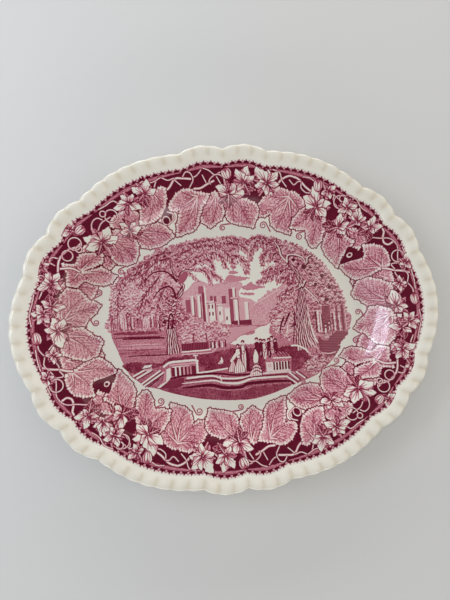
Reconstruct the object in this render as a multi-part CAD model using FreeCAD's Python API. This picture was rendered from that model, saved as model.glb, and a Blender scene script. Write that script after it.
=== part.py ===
"""Oval serving platter of transfer-printed earthenware, in millimetres.

The platter lies face up on its foot ring. +X is its long axis, +Z is up, and the
origin is the middle of the foot ring, in the plane that it rests on.

Everything on an oval platter runs parallel to its edge, so every solid here is built
from rings. A ring is named by its inset, the distance in from the edge ellipse, and by
its height. It is cut into one arc per flute of the gadrooned edge, and the faces are
ruled from each arc to the same arc of the next ring.
"""
import FreeCAD, Part
import math
import os
from collections import namedtuple

# Edge, seen from above
EDGE_X = 192.0            # semi-axes of the ellipse through the cusps of the edge
EDGE_Y = 154.5
LOBE_RISE = 4.0           # how far a lobe stands out past that ellipse
CUSPS = (0.0, 19.0, 33.5, 47.2, 77.8, 90.0)    # first quadrant; 0 is mid-lobe, not a cusp
FLUTES_PER_LOBE = (3.5, 3, 3, 7, 3)            # the first lobe is halved by the X axis
SCALLOP = 0.7             # how far the edge draws in between two flutes
FLUTE_DEPTH = 0.9         # how far the groove between two flutes sinks

# Face, from the middle outwards, as insets and heights
WELL_FLOOR = 6.4          # height of the flat floor
WELL_INSET = 66.0         # where the floor ends and the cavetto starts to climb
CAVETTO_WIDTH = 38.0
CAVETTO_RISE = 15.4
RIM_SLOPE = 0.20
GADROON_INSET = 12.5      # inner side of the gadrooned band
BEAD_RADIUS = 2.6         # half-round outer edge
BEAD_HEIGHT = 33.8        # height of its centre
LOBES_FADE = 36.0         # inset at which the lobes have died out into a plain oval

# Body thickness and foot
WALL = 4.4
FOOT_OUTER = 60.0
FOOT_INNER = 64.5
FOOT_DRAFT = 1.0          # how much each side of the foot leans
RECESS = 2.0              # height of the base inside the foot ring

# Applied layers
PRINT_THICKNESS = 0.1
GLAZE_THICKNESS = 0.35
SCENE_INSET = 74.0        # edge of the centre print
BORDER_OUTER = 12.6       # edges of the border print
BORDER_INNER = 66.5
BORDER_STRIPS = (10, 10, 9, 10, 10, 10, 9, 10)     # flutes spanned by each border strip

Ring = namedtuple("Ring", "inset height scallop groove")


# ---- Shape of the platter -------------------------------------------------------------

def lobe_spans():
    """(start, end, flutes) of every lobe, in degrees, once round the edge."""
    spans = []
    for quadrant in range(4):
        pieces = list(zip(CUSPS, CUSPS[1:], FLUTES_PER_LOBE))
        if quadrant % 2:
            pieces = [(90 - end, 90 - start, n) for start, end, n in reversed(pieces)]
        spans += [(start + 90 * quadrant, end + 90 * quadrant, n) for start, end, n in pieces]
    # Two halves meet on the X axis: join them into one lobe each.
    middle = len(spans) // 2
    left = (spans[middle - 1][0], spans[middle][1], 7)
    right = (spans[-1][0], spans[0][1] + 360, 7)
    return spans[1:middle - 1] + [left] + spans[middle + 1:-1] + [right]


LOBES = lobe_spans()


def flute_angles():
    """Angles of the grooves between the flutes, in degrees, in order."""
    angles = []
    for start, end, flutes in LOBES:
        angles += [start + (end - start) * i / flutes for i in range(int(flutes))]
    return angles + [LOBES[0][0] + 360]


GROOVES = flute_angles()
FLUTES = len(GROOVES) - 1


def lobe_rise(angle):
    """How far the edge stands out from the edge ellipse at this angle."""
    for start, end, _ in LOBES:
        if start <= angle <= end:
            return LOBE_RISE * math.sin(math.pi * (angle - start) / (end - start))
    return lobe_rise(angle + 360 if angle < LOBES[0][0] else angle - 360)


def lobe_share(inset):
    return min(1.0, max(0.0, (LOBES_FADE - inset) / (LOBES_FADE - GADROON_INSET)))


def smooth(x):
    x = min(1.0, max(0.0, x))
    return x * x * (3 - 2 * x)


def rim_height(inset):
    """Top of the body from the middle of the well to the gadrooned band."""
    run = max(0.0, WELL_INSET - inset)
    return WELL_FLOOR + smooth(run / CAVETTO_WIDTH) * (CAVETTO_RISE + RIM_SLOPE * run)


def face_ring(inset, lift=0.0):
    """Ring on the face of the body, or lifted off it by a layer."""
    if inset >= GADROON_INSET:
        return Ring(inset, rim_height(inset) + lift, 0.0, 0.0)
    low = rim_height(GADROON_INSET)
    crest = BEAD_HEIGHT + BEAD_RADIUS
    climb = (GADROON_INSET - inset) / (GADROON_INSET - BEAD_RADIUS)
    height = low + (crest - low) * math.sin(math.pi / 2 * climb)
    return Ring(inset, height + lift, SCALLOP * climb, FLUTE_DEPTH * smooth(1.6 * climb))


def bead_ring(degrees, grow=0.0):
    """Ring on the half-round edge: 90 is its top, 0 its outermost line, -90 its underside."""
    radius = BEAD_RADIUS + grow
    turn = math.radians(degrees)
    top = max(0.0, math.sin(turn))
    return Ring(
        BEAD_RADIUS - radius * math.cos(turn),
        BEAD_HEIGHT + radius * math.sin(turn),
        SCALLOP,
        FLUTE_DEPTH * top,
    )


def under_ring(inset, drop=0.0):
    """Ring on the underside, one wall thickness square to the face at this inset."""
    step = 0.01
    slope = math.atan((rim_height(inset - step) - rim_height(inset + step)) / (2 * step))
    depth = WALL + drop
    return Ring(
        inset - depth * math.sin(slope),
        rim_height(inset) - depth * math.cos(slope),
        0.0,
        0.0,
    )


# ---- Building with rings --------------------------------------------------------------

def ring_point(ring, angle, crest):
    """Point of a ring. crest is 0 in the groove between two flutes and 1 on a flute."""
    out = lobe_rise(angle) * lobe_share(ring.inset) - ring.scallop * (1 - crest) - ring.inset
    turn = math.radians(angle)
    return FreeCAD.Vector(
        (EDGE_X + out) * math.cos(turn),
        (EDGE_Y + out) * math.sin(turn),
        ring.height - ring.groove * (1 - crest),
    )


def ring_arcs(ring, first, last):
    """One arc per flute, from flute number first up to last."""
    arcs = []
    for start, end in zip(GROOVES[first:last], GROOVES[first + 1:last + 1]):
        points = (
            ring_point(ring, start, 0),
            ring_point(ring, (start + end) / 2, 1),
            ring_point(ring, end, 0),
        )
        arcs.append(Part.Arc(*points).toShape())
    return arcs


def make_solid(faces):
    shell = Part.Compound(faces)
    shell.sewShape()
    solid = Part.Solid(shell.Shells[0])
    if solid.Volume < 0:
        solid.reverse()
    return solid


def is_flat(near, far):
    return near.height == far.height and near.groove == far.groove == 0


def all_round(rings):
    """Faces that join each ring to the next, right round the platter."""
    arcs = [ring_arcs(ring, 0, FLUTES) for ring in rings]
    faces = []
    for i in range(len(rings) - 1):
        if is_flat(rings[i], rings[i + 1]):
            outer, inner = sorted((i, i + 1), key=lambda k: rings[k].inset)
            whole = Part.Face(Part.Wire(arcs[outer]))
            faces += whole.cut(Part.Face(Part.Wire(arcs[inner]))).Faces
        else:
            faces += [Part.makeRuledSurface(a, b) for a, b in zip(arcs[i], arcs[i + 1])]
    return faces


def disc(rings):
    """Solid whose section runs from the middle, out through the rings and back."""
    middles = [Part.Face(Part.Wire(ring_arcs(r, 0, FLUTES))) for r in (rings[0], rings[-1])]
    return make_solid(all_round(rings) + middles)


def hoop(rings):
    """Solid that goes right round, with a closed section that doesn't reach the middle."""
    return make_solid(all_round(rings + rings[:1]))


def strip(rings, first, last):
    """Part of a hoop, from flute first to flute last, closed by two flat ends."""
    arcs = [ring_arcs(ring, first, last) for ring in rings]
    faces = []
    for near, far in zip(arcs, arcs[1:] + arcs[:1]):
        faces += [Part.makeRuledSurface(a, b) for a, b in zip(near, far)]
    for flute in (first, last):
        corners = [ring_point(ring, GROOVES[flute], 0) for ring in rings]
        faces.append(Part.Face(Part.makePolygon(corners + corners[:1])))
    return make_solid(faces)


# ---- Pieces ---------------------------------------------------------------------------

RIM_INSETS = (BORDER_OUTER, 20.0, 28.0, 33.0, 38.0, 43.0, 48.0, 53.0, 58.0, 62.0, BORDER_INNER)
GADROON_INSETS = (4.5, 7.0, 10.0)
UNDER_INSETS = (GADROON_INSET, 20.0, 28.0, 33.0, 38.0, 43.0, 48.0, 53.0, 57.0)
BEAD_TOP = (90, 60, 30, 0)
BEAD_UNDER = (-30, -60, -90)


def face_rings(lift=0.0):
    """The whole face from the edge of the centre print out to the outermost line."""
    insets = (SCENE_INSET,) + RIM_INSETS[::-1] + GADROON_INSETS[::-1]
    return [face_ring(inset, lift) for inset in insets] + [bead_ring(a, lift) for a in BEAD_TOP]


def back_rings(drop=0.0):
    """The outside of the back, from the underside of the edge in to the foot."""
    rings = [bead_ring(a, drop) for a in BEAD_UNDER]
    return rings + [under_ring(inset, drop) for inset in UNDER_INSETS]


def earthenware_body():
    foot = [
        Ring(FOOT_OUTER - FOOT_DRAFT, RECESS + 1.2, 0, 0),
        Ring(FOOT_OUTER, 0, 0, 0),
        Ring(FOOT_INNER, 0, 0, 0),
        Ring(FOOT_INNER + FOOT_DRAFT, RECESS, 0, 0),
    ]
    return disc(face_rings() + back_rings() + foot)


def centre_transfer():
    low = face_ring(SCENE_INSET)
    return disc([low._replace(height=low.height + PRINT_THICKNESS), low])


def border_rings():
    upper = [face_ring(inset, PRINT_THICKNESS) for inset in RIM_INSETS]
    return [face_ring(inset) for inset in RIM_INSETS[::-1]] + upper


def face_glaze():
    over_print = [face_ring(inset, PRINT_THICKNESS) for inset in RIM_INSETS]
    scene = face_ring(SCENE_INSET)
    under = [bead_ring(a) for a in BEAD_TOP[::-1]]
    under += [face_ring(inset) for inset in GADROON_INSETS + (BORDER_OUTER,)]
    under += over_print
    under += [face_ring(BORDER_INNER), scene, face_ring(SCENE_INSET, PRINT_THICKNESS)]
    return disc(face_rings(GLAZE_THICKNESS) + under)


def back_glaze():
    return hoop([bead_ring(0)] + back_rings() + back_rings(GLAZE_THICKNESS)[::-1]
                + [bead_ring(0, GLAZE_THICKNESS)])


def base_glaze():
    """Coat on the base inside the foot ring. It stays clear of what the foot rests on."""
    inset = FOOT_INNER + FOOT_DRAFT
    return disc([Ring(inset, RECESS, 0, 0), Ring(inset, RECESS - GLAZE_THICKNESS, 0, 0)])


os.makedirs("parts", exist_ok=True)

pieces = {
    "earthenware_body": earthenware_body(),
    "centre_transfer": centre_transfer(),
    "face_glaze": face_glaze(),
    "back_glaze": back_glaze(),
    "base_glaze": base_glaze(),
}
first_flute = 0
for number, flutes in enumerate(BORDER_STRIPS, start=1):
    last_flute = first_flute + flutes
    pieces[f"border_transfer_{number}"] = strip(border_rings(), first_flute, last_flute)
    first_flute = last_flute

for name, shape in pieces.items():
    shape.exportStep(f"parts/{name}.step")
    box = shape.BoundBox
    print(f"{name:20s} valid {shape.isValid()} volume {shape.Volume:10.0f} mm3  size "
          f"{box.XLength:.1f} x {box.YLength:.1f} x {box.ZLength:.2f}  z {box.ZMin:.2f}")
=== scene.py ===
"""Oval china serving platter: how it looks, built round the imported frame.

The shape repeats the formulas of the part. The printed face is drawn the way a transfer
is: the class Plate is the engraved copper plate, and everything on it is a wash or a
stroke of ink. The finished plate is read off at every point of the face.

Lengths are in millimetres until a mesh is made. Angles run anticlockwise from +X.
"""
import math

import bpy
import numpy as np
from mathutils import Matrix, Vector


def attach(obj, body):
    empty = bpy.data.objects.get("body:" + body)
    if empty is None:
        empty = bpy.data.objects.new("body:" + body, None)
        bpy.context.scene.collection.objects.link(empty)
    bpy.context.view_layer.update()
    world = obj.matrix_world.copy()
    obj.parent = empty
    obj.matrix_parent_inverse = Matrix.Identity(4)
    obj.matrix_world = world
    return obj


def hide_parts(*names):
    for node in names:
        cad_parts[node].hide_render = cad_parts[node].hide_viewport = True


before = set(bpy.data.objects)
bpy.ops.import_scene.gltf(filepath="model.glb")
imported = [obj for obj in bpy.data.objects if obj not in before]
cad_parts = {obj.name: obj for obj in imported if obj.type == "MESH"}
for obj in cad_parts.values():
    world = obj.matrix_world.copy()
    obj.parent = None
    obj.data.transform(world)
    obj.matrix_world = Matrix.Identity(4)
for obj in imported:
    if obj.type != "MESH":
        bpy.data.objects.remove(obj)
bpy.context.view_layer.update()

MM = 0.001
rng = np.random.default_rng(7)

# ---- Shape, as in the part ------------------------------------------------------------

EDGE_X = 192.0
EDGE_Y = 154.5
LOBE_RISE = 4.0
CUSPS = (0.0, 19.0, 33.5, 47.2, 77.8, 90.0)
FLUTES_PER_LOBE = (3.5, 3, 3, 7, 3)
SCALLOP = 0.7
FLUTE_DEPTH = 0.9
WELL_FLOOR = 6.4
WELL_INSET = 66.0
CAVETTO_WIDTH = 38.0
CAVETTO_RISE = 15.4
RIM_SLOPE = 0.20
GADROON_INSET = 12.5
BEAD_RADIUS = 2.6
BEAD_HEIGHT = 33.8
LOBES_FADE = 36.0
WALL = 4.4
COAT = 0.4                # print and glaze, over the body's own surface
FOOT_OUTER = 60.0
FOOT_INNER = 64.5
RECESS = 2.0
BORDER_INNER = 66.5
BORDER_STRIPS = (10, 10, 9, 10, 10, 10, 9, 10)


def lobe_spans():
    """(start, end, flutes) of every lobe, in degrees, once round the edge."""
    spans = []
    for quadrant in range(4):
        pieces = list(zip(CUSPS, CUSPS[1:], FLUTES_PER_LOBE))
        if quadrant % 2:
            pieces = [(90 - end, 90 - start, n) for start, end, n in reversed(pieces)]
        spans += [(start + 90 * quadrant, end + 90 * quadrant, n) for start, end, n in pieces]
    middle = len(spans) // 2
    left = (spans[middle - 1][0], spans[middle][1], 7)
    right = (spans[-1][0], spans[0][1] + 360, 7)
    return spans[1:middle - 1] + [left] + spans[middle + 1:-1] + [right]


LOBES = lobe_spans()
LOBE_STARTS = np.radians([start for start, _, _ in LOBES] + [LOBES[0][0] + 360])
GROOVES = np.radians(
    [start + (end - start) * i / n for start, end, n in LOBES for i in range(int(n))]
    + [LOBES[0][0] + 360]
)


def share_of(angle, bounds):
    """How far each angle lies across the span that it falls in, from 0 to 1."""
    angle = (angle - bounds[0]) % (2 * math.pi) + bounds[0]
    i = np.clip(np.searchsorted(bounds, angle, side="right") - 1, 0, len(bounds) - 2)
    return (angle - bounds[i]) / (bounds[i + 1] - bounds[i])


def smooth(x):
    """0 to 1 with a soft start and end."""
    x = np.clip(x, 0.0, 1.0)
    return x * x * (3 - 2 * x)


def rim_height(inset):
    """Height of the body's face, from the well's floor up the cavetto and over the rim."""
    run = np.maximum(0.0, WELL_INSET - inset)
    return WELL_FLOOR + smooth(run / CAVETTO_WIDTH) * (CAVETTO_RISE + RIM_SLOPE * run)


def groove_dip(angle):
    """1 in the groove between two flutes, and 0 on top of a flute."""
    flute = share_of(angle, GROOVES)
    return 0.65 * (1 - 4 * flute * (1 - flute)) + 0.175 * (1 + np.cos(2 * math.pi * flute))


def place(angle, inset, height, scallop=0.0, groove=0.0):
    """Points in space, from their angle, their inset from the edge and their height."""
    dip = groove_dip(angle)
    fade = np.clip((LOBES_FADE - inset) / (LOBES_FADE - GADROON_INSET), 0, 1)
    out = LOBE_RISE * np.sin(math.pi * share_of(angle, LOBE_STARTS)) * fade
    out = out - scallop * dip - inset
    x = (EDGE_X + out) * np.cos(angle)
    y = (EDGE_Y + out) * np.sin(angle)
    return np.stack(np.broadcast_arrays(x, y, height - groove * dip), -1)


def edge_profile(rows):
    """The gadrooned edge, from the border up over the bead: columns as place() takes them."""
    climb = np.linspace(0, 1, rows)
    inset = GADROON_INSET - climb * (GADROON_INSET - BEAD_RADIUS)
    low = rim_height(GADROON_INSET)
    height = low + (BEAD_HEIGHT + BEAD_RADIUS - low) * np.sin(math.pi / 2 * climb)
    groove = FLUTE_DEPTH * smooth(1.6 * climb)
    face = np.stack([inset, height + COAT, SCALLOP * climb, groove], -1)
    turn = np.radians(np.linspace(90, -90, rows // 2)[1:])
    radius = BEAD_RADIUS + COAT
    bead = np.stack([
        BEAD_RADIUS - radius * np.cos(turn),
        BEAD_HEIGHT + radius * np.sin(turn),
        np.full(len(turn), SCALLOP),
        FLUTE_DEPTH * np.maximum(0, np.sin(turn)),
    ], -1)
    return np.vstack([face, bead])


def back_profile(rows):
    """The underside, from below the bead down to the outside of the foot."""
    inset = np.linspace(GADROON_INSET, FOOT_OUTER - 3, rows)
    slope = np.arctan((rim_height(inset - 0.01) - rim_height(inset + 0.01)) / 0.02)
    depth = WALL + COAT
    under = np.stack([
        inset - depth * np.sin(slope),
        rim_height(inset) - depth * np.cos(slope),
        0 * inset,
        0 * inset,
    ], -1)
    start = [BEAD_RADIUS, BEAD_HEIGHT - BEAD_RADIUS - COAT, SCALLOP, 0.0]
    share = np.linspace(0, 1, 8)[:-1, None]
    foot = [FOOT_OUTER - 0.8, RECESS + 0.8, 0.0, 0.0]
    return np.vstack([start + share * (under[0] - start), under, [foot]])


# ---- The engraved plate ---------------------------------------------------------------

GRAIN = 0.25              # size of the smallest spot of ink
PLATE_X = 200             # half of the plate's length and width
PLATE_Y = 162
DARK = 0.97               # the border's ground


def curve(points, closed=False, pieces=8):
    """A smooth line through the points."""
    p = np.asarray(points, float)
    if closed:
        p = np.vstack([p[-1:], p, p[:2]])
    else:
        p = np.vstack([2 * p[0] - p[1], p, 2 * p[-1] - p[-2]])
    a, b, c, d = p[:-3], p[1:-2], p[2:-1], p[3:]
    t = np.linspace(0, 1, pieces, endpoint=False)[:, None, None]
    line = 0.5 * (2 * b + (c - a) * t + (2 * a - 5 * b + 4 * c - d) * t ** 2
                  + (3 * b - a - 3 * c + d) * t ** 3)
    line = line.transpose(1, 0, 2).reshape(-1, 2)
    return line if closed else np.vstack([line, p[-2]])


def even(path, step, closed=False):
    """Points at even steps along a line."""
    path = np.asarray(path, float)
    if closed:
        path = np.vstack([path, path[:1]])
    along = np.concatenate([[0], np.cumsum(np.hypot(*np.diff(path, axis=0).T))])
    count = max(3, int(round(along[-1] / step)) + (not closed))
    at = np.linspace(0, along[-1], count, endpoint=not closed)
    return np.stack([np.interp(at, along, path[:, i]) for i in (0, 1)], -1)


def sideways(path, closed=False):
    """Unit vectors to the left of a line."""
    if closed:
        ahead = np.roll(path, -1, 0) - np.roll(path, 1, 0)
    else:
        ahead = np.gradient(path, axis=0)
    ahead /= np.hypot(*ahead.T)[:, None] + 1e-9
    return np.stack([-ahead[:, 1], ahead[:, 0]], -1)


class Plate:
    """The strength of the ink at each grain of the face: 0 is bare, 1 is solid."""

    def __init__(self):
        self.x = np.arange(-PLATE_X, PLATE_X, GRAIN)
        self.y = np.arange(-PLATE_Y, PLATE_Y, GRAIN)
        self.ink = np.zeros((len(self.y), len(self.x)), np.float32)
        self.stencil = None
        self.turn = 1         # -1 draws everything turned half way round

    def window(self, points, reach):
        """The rows and columns that hold these points, and reach millimetres round them."""
        low, high = points.min(0) - reach, points.max(0) + reach
        columns = slice(*np.searchsorted(self.x, (low[0], high[0])))
        rows = slice(*np.searchsorted(self.y, (low[1], high[1])))
        return rows, columns

    def lay(self, rows, columns, cover, tone):
        """Brings the ink towards a tone, as far as cover says, inside the stencil."""
        if self.stencil is not None:
            cover = cover * self.stencil[rows, columns]
        if isinstance(tone, np.ndarray):
            tone = tone[rows, columns]
        self.ink[rows, columns] += (tone - self.ink[rows, columns]) * cover

    def inside(self, outline):
        """Where the plate lies inside a closed outline: rows, columns and a mask."""
        outline = np.asarray(outline, float) * self.turn
        rows, columns = self.window(outline, GRAIN)
        x, y = self.x[columns], self.y[rows]
        flips = np.zeros((len(y), len(x) + 1), np.int32)
        for (xa, ya), (xb, yb) in zip(outline, np.roll(outline, -1, 0)):
            first, last = np.searchsorted(y, sorted((ya, yb)))
            if first < last:
                crossing = xa + (y[first:last] - ya) * (xb - xa) / (yb - ya)
                np.add.at(flips, (np.arange(first, last), np.searchsorted(x, crossing)), 1)
        return rows, columns, flips[:, :-1].cumsum(1) % 2 == 1

    def wash(self, outline, tone, strength=1.0):
        """Inks the inside of a closed outline, with one tone or with a plate-sized array."""
        rows, columns, mask = self.inside(outline)
        self.lay(rows, columns, mask * strength, tone)

    def hold(self, outline=None):
        """Keeps later ink inside this outline, or lets it go anywhere again."""
        self.stencil = None
        if outline is not None:
            rows, columns, mask = self.inside(outline)
            self.stencil = np.zeros(self.ink.shape, bool)
            self.stencil[rows, columns] = mask

    def line(self, path, width, tone, strength=1.0):
        """Draws straight from point to point. width is one number, or several along it."""
        path = even(path, GRAIN) * self.turn
        width = np.atleast_1d(width)
        radius = np.interp(np.linspace(0, 1, len(path)), np.linspace(0, 1, len(width)), width) / 2
        reach = radius.max() + GRAIN
        rows, columns = self.window(path, reach + GRAIN)
        x, y = self.x[columns], self.y[rows]
        if len(x) < 2 or len(y) < 2:
            return
        near = np.arange(-math.ceil(reach / GRAIN), math.ceil(reach / GRAIN) + 1)
        i = np.clip(np.rint((path[:, 1] - y[0]) / GRAIN).astype(int)[:, None] + near, 0, len(y) - 1)
        j = np.clip(np.rint((path[:, 0] - x[0]) / GRAIN).astype(int)[:, None] + near, 0, len(x) - 1)
        away = np.hypot(x[j][:, None, :] - path[:, 0, None, None],
                        y[i][:, :, None] - path[:, 1, None, None])
        cover = np.clip((radius[:, None, None] - away) / GRAIN + 0.5, 0, 1)
        mask = np.zeros((len(y), len(x)))
        spot = np.broadcast_arrays(i[:, :, None], j[:, None, :])
        np.maximum.at(mask, tuple(spot), cover)
        self.lay(rows, columns, mask * strength, tone)

    def stroke(self, path, width, tone, strength=1.0):
        """Draws a smooth line through the points."""
        self.line(curve(path), width, tone, strength)

    def rim(self, outline, width, tone):
        """Draws a line round a closed outline."""
        self.line(np.vstack([outline, outline[:1]]), width, tone)

    def dot(self, x, y, width, tone):
        self.line([(x, y), (x + GRAIN, y)], width, tone)

    def soften(self, passes):
        """Lets the ink bleed a little."""
        for _ in range(passes):
            for axis in (0, 1):
                self.ink = (np.roll(self.ink, 1, axis) + 2 * self.ink
                            + np.roll(self.ink, -1, axis)) / 4

    def bite(self, depth):
        """Brings out the edges of the marks, as deeper etching does."""
        flat = self.ink
        self.soften(6)
        self.ink = np.clip(flat + depth * (flat - self.ink), 0, 1)

    def read(self, x, y):
        """The ink at these points."""
        j = np.clip((x - self.x[0]) / GRAIN, 0, len(self.x) - 1.01)
        i = np.clip((y - self.y[0]) / GRAIN, 0, len(self.y) - 1.01)
        column, row = j.astype(int), i.astype(int)
        right, up = j - column, i - row
        return ((1 - up) * ((1 - right) * self.ink[row, column] + right * self.ink[row, column + 1])
                + up * ((1 - right) * self.ink[row + 1, column]
                        + right * self.ink[row + 1, column + 1]))


plate = Plate()
stipple = rng.random(plate.ink.shape).astype(np.float32)
for _ in range(2):
    stipple = (stipple + np.roll(stipple, 1, 0) + np.roll(stipple, 1, 1)
               + np.roll(stipple, (1, 1), (0, 1))) / 4
stipple = (stipple - 0.5) / stipple.std()


def cloudy(size):
    """Soft patches of about this size over the whole plate, spread round 0."""
    rows, columns = plate.ink.shape
    coarse = rng.normal(size=(int(rows * GRAIN / size) + 2, int(columns * GRAIN / size) + 2))
    y = np.linspace(0, coarse.shape[0] - 1.01, rows)
    x = np.linspace(0, coarse.shape[1] - 1.01, columns)
    i, j = y.astype(int), x.astype(int)
    up, right = smooth(y - i)[:, None], smooth(x - j)
    low = coarse[i][:, j] * (1 - right) + coarse[i][:, j + 1] * right
    high = coarse[i + 1][:, j] * (1 - right) + coarse[i + 1][:, j + 1] * right
    return (low * (1 - up) + high * up).astype(np.float32)


def tint(tone):
    """A tone, or one for each grain, kept between bare and solid."""
    return np.clip(tone, 0, 1)


def ruled(pitch, degrees):
    """Fine engraved lines over the whole plate, from -1 to 1."""
    turn = math.radians(degrees)
    across = plate.x * math.cos(turn) + plate.y[:, None] * math.sin(turn)
    return np.sin(2 * math.pi * across / pitch).astype(np.float32)


# ---- Border motifs --------------------------------------------------------------------

def around(angle, inset):
    """Points on the face, seen from above."""
    return place(np.asarray(angle, float), np.asarray(inset, float), 0.0)[..., :2]


def winding(outline):
    """1 for an outline that runs anticlockwise, and -1 for one that runs clockwise."""
    x, y = outline.T
    return np.sign(np.sum(x * np.roll(y, -1) - y * np.roll(x, -1)))


def serrate(outline, pitch=2.7, depth=1.1, step=0.35):
    """A leaf's margin, with large and small teeth."""
    line = even(outline, step, closed=True)
    along = np.arange(len(line)) * step / pitch
    tooth = (along % 1) * (1 + 0.45 * np.cos(2 * math.pi * np.floor(along) / 3))
    push = winding(line) * depth * (tooth - 0.3)
    return line - sideways(line, closed=True) * push[:, None]


LEAF_TONE = tint(0.45 + 0.08 * stipple + 0.09 * cloudy(0.8) + 0.05 * cloudy(7))


def leaf(outline, junction, tips):
    """A grape leaf: its margin, and the ends of the veins that leave its junction."""
    margin = serrate(outline)
    plate.rim(margin, 1.7, 0.95)
    plate.wash(margin, LEAF_TONE)
    plate.hold(margin)
    junction = np.array(junction, float)
    plate.line([junction, junction + 0.1], 26, 0.62, strength=0.12)
    for tip in tips:
        tip = np.array(tip, float)
        run = tip - junction
        length = np.hypot(*run)
        along = run / length
        side = np.array([-along[1], along[0]])
        bow = 0.06 * length * side
        vein = np.array([junction, junction + 0.5 * run + bow, tip])
        plate.stroke(vein, (5.0, 3.0), 0.62, strength=0.16)
        for at in np.arange(0.18, 0.9, 4.2 / length):
            root = junction + at * run + bow * 4 * at * (1 - at)
            reach = 0.36 * length * (1 - 0.62 * at)
            for sign in (-1, 1):
                end = root + reach * (0.74 * along + 0.66 * sign * side)
                mid = root + reach * 0.5 * (0.66 * along + 0.78 * sign * side)
                plate.stroke([root, mid, end], (0.6, 0.3), 0.88, strength=0.5)
                plate.line(np.array([mid, end]) - 1.3 * along, (0.9, 0.4), 0.06, strength=0.45)
        plate.stroke(vein + 0.45 * side, (0.8, 0.5, 0.3), 0.9, strength=0.85)
        plate.stroke(vein[:2], (1.3, 0.3), 0.05)
    spots = even(margin, 1.6, closed=True)
    inward = sideways(spots, closed=True) * winding(spots)
    for spot, way in zip(spots, inward):
        length = rng.uniform(1.2, 3.4)
        plate.line([spot + 0.5 * way, spot + length * way], (1.15, 0.5), 0.0,
                   strength=0.95)
    plate.hold()


def petal(base, tip, width, kind):
    """One leaflet with a pointed, wavy outline: "pale", "dark" or "shaded"."""
    base, tip = np.array(base, float), np.array(tip, float)
    run = tip - base
    side = np.array([-run[1], run[0]]) / np.hypot(*run)
    t = np.linspace(0, 1, 25)
    half = 0.56 * width * np.interp(t, (0, 0.15, 0.3, 0.42, 0.52, 0.64, 0.72, 0.84, 1),
                                    (0.15, 0.4, 0.8, 1.0, 0.7, 0.86, 0.55, 0.42, 0))
    sway = 0.12 * width * np.sin(rng.choice((-1, 1)) * 2 * math.pi * t)
    spine = base + t[:, None] * run
    outline = np.vstack([spine + (half + sway)[:, None] * side,
                         (spine - (half - sway)[:, None] * side)[::-1]])
    if kind == "shaded":
        plate.rim(outline, 1.2, 0.97)
        plate.wash(outline, tint(0.55 + 0.1 * stipple))
        plate.stroke(spine + 0.3 * width * side, 0.2 * width, 0.2, strength=0.7)
        plate.line([base, tip], (0.9, 0.3), 0.92)
        return
    if kind == "dark":
        plate.line(outline, 0.8, 0.45)
        plate.wash(outline, 0.9)
        plate.line([base, tip], (1.0, 0.3), 0.22)
        for at in (0.25, 0.45, 0.65):
            root = base + at * run
            for sign in (-1, 1):
                end = root + 0.2 * run + sign * side * 0.34 * width
                plate.line([root, end], 0.4, 0.45)
        return
    plate.rim(outline, 1.2, 0.97)
    plate.wash(outline, 0.0)
    plate.hold(outline)
    shade = rng.choice((-1, 1))
    plate.stroke(spine + 0.45 * shade * width * side, 0.24 * width, 0.6, strength=0.7)
    for spread in (-0.3, 0.0, 0.3):
        end = base + rng.uniform(0.45, 0.8) * run + side * spread * width
        plate.line([base, end], (1.0, 0.3), 0.85, strength=0.8)
    plate.line([base, base + 0.28 * run], (0.5 * width, 0.6), 0.7, strength=0.6)
    plate.hold()


PETAL_REACH = 1.13        # pale petals reach a little past their listed tips


def flower(centre, pale, dark=(), width=0.58):
    """Pale, dark and shaded leaflets round one centre."""
    centre = np.array(centre, float)
    runs = PETAL_REACH * (np.array(pale, float) - centre)
    pale = centre + runs
    heading = np.sort(np.arctan2(runs[:, 1], runs[:, 0]))
    between = heading + 0.5 * ((np.roll(heading, -1) - heading) % (2 * math.pi))
    reach = 0.85 * np.hypot(*runs.T).mean()
    shaded = centre + reach * np.stack([np.cos(between), np.sin(between)], -1)
    for tips, kind in ((shaded, "shaded"), (dark, "dark"), (pale, "pale")):
        for tip in tips:
            run = np.array(tip, float) - centre
            petal(centre + 0.04 * run, tip, max(4.0, width * np.hypot(*run)), kind)
    plate.dot(*centre, 1.7, 0.85)
    plate.dot(*(centre + 0.3), 0.8, 0.1)


def bud(x, y, width, height, lean=0):
    """A round bud with its folds."""
    turn = math.radians(lean)
    t = np.linspace(0, 2 * math.pi, 20, endpoint=False)
    across = 0.5 * width * np.sin(t)
    up = 0.5 * height * np.cos(t) * (1 + 0.12 * np.cos(t))
    outline = np.stack([x + across * math.cos(turn) - up * math.sin(turn),
                        y + across * math.sin(turn) + up * math.cos(turn)], -1)
    plate.stroke(np.vstack([outline, outline[:1]]), 1.1, 0.95)
    plate.wash(outline, 0.04)
    plate.hold(outline)
    for share, wide, tone in ((-0.75, 1.5, 0.55), (0.1, 0.5, 0.75), (0.65, 0.6, 0.6)):
        fold = np.stack([x + share * across[:11] * 0.9 * math.cos(turn) - up[:11] * math.sin(turn),
                         y + share * across[:11] * 0.9 * math.sin(turn) + up[:11] * math.cos(turn)],
                        -1)
        plate.stroke(fold, wide, tone)
    foot = (x + 0.5 * height * math.sin(turn), y - 0.5 * height * math.cos(turn))
    plate.line([foot, (x, y)], (0.6 * width, 0.4), 0.8, strength=0.7)
    plate.hold()


def vine(points, width=1.9):
    """A stem standing out pale from the ground."""
    plate.stroke(points, width + 1.0, DARK)
    plate.stroke(points, width, 0.34)
    plate.stroke(points, 0.5 * width, 0.05)


def tendril(points, width=0.95):
    """A thin pale stem."""
    plate.stroke(points, width + 0.9, DARK, strength=0.8)
    plate.stroke(points, width, 0.1)


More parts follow.
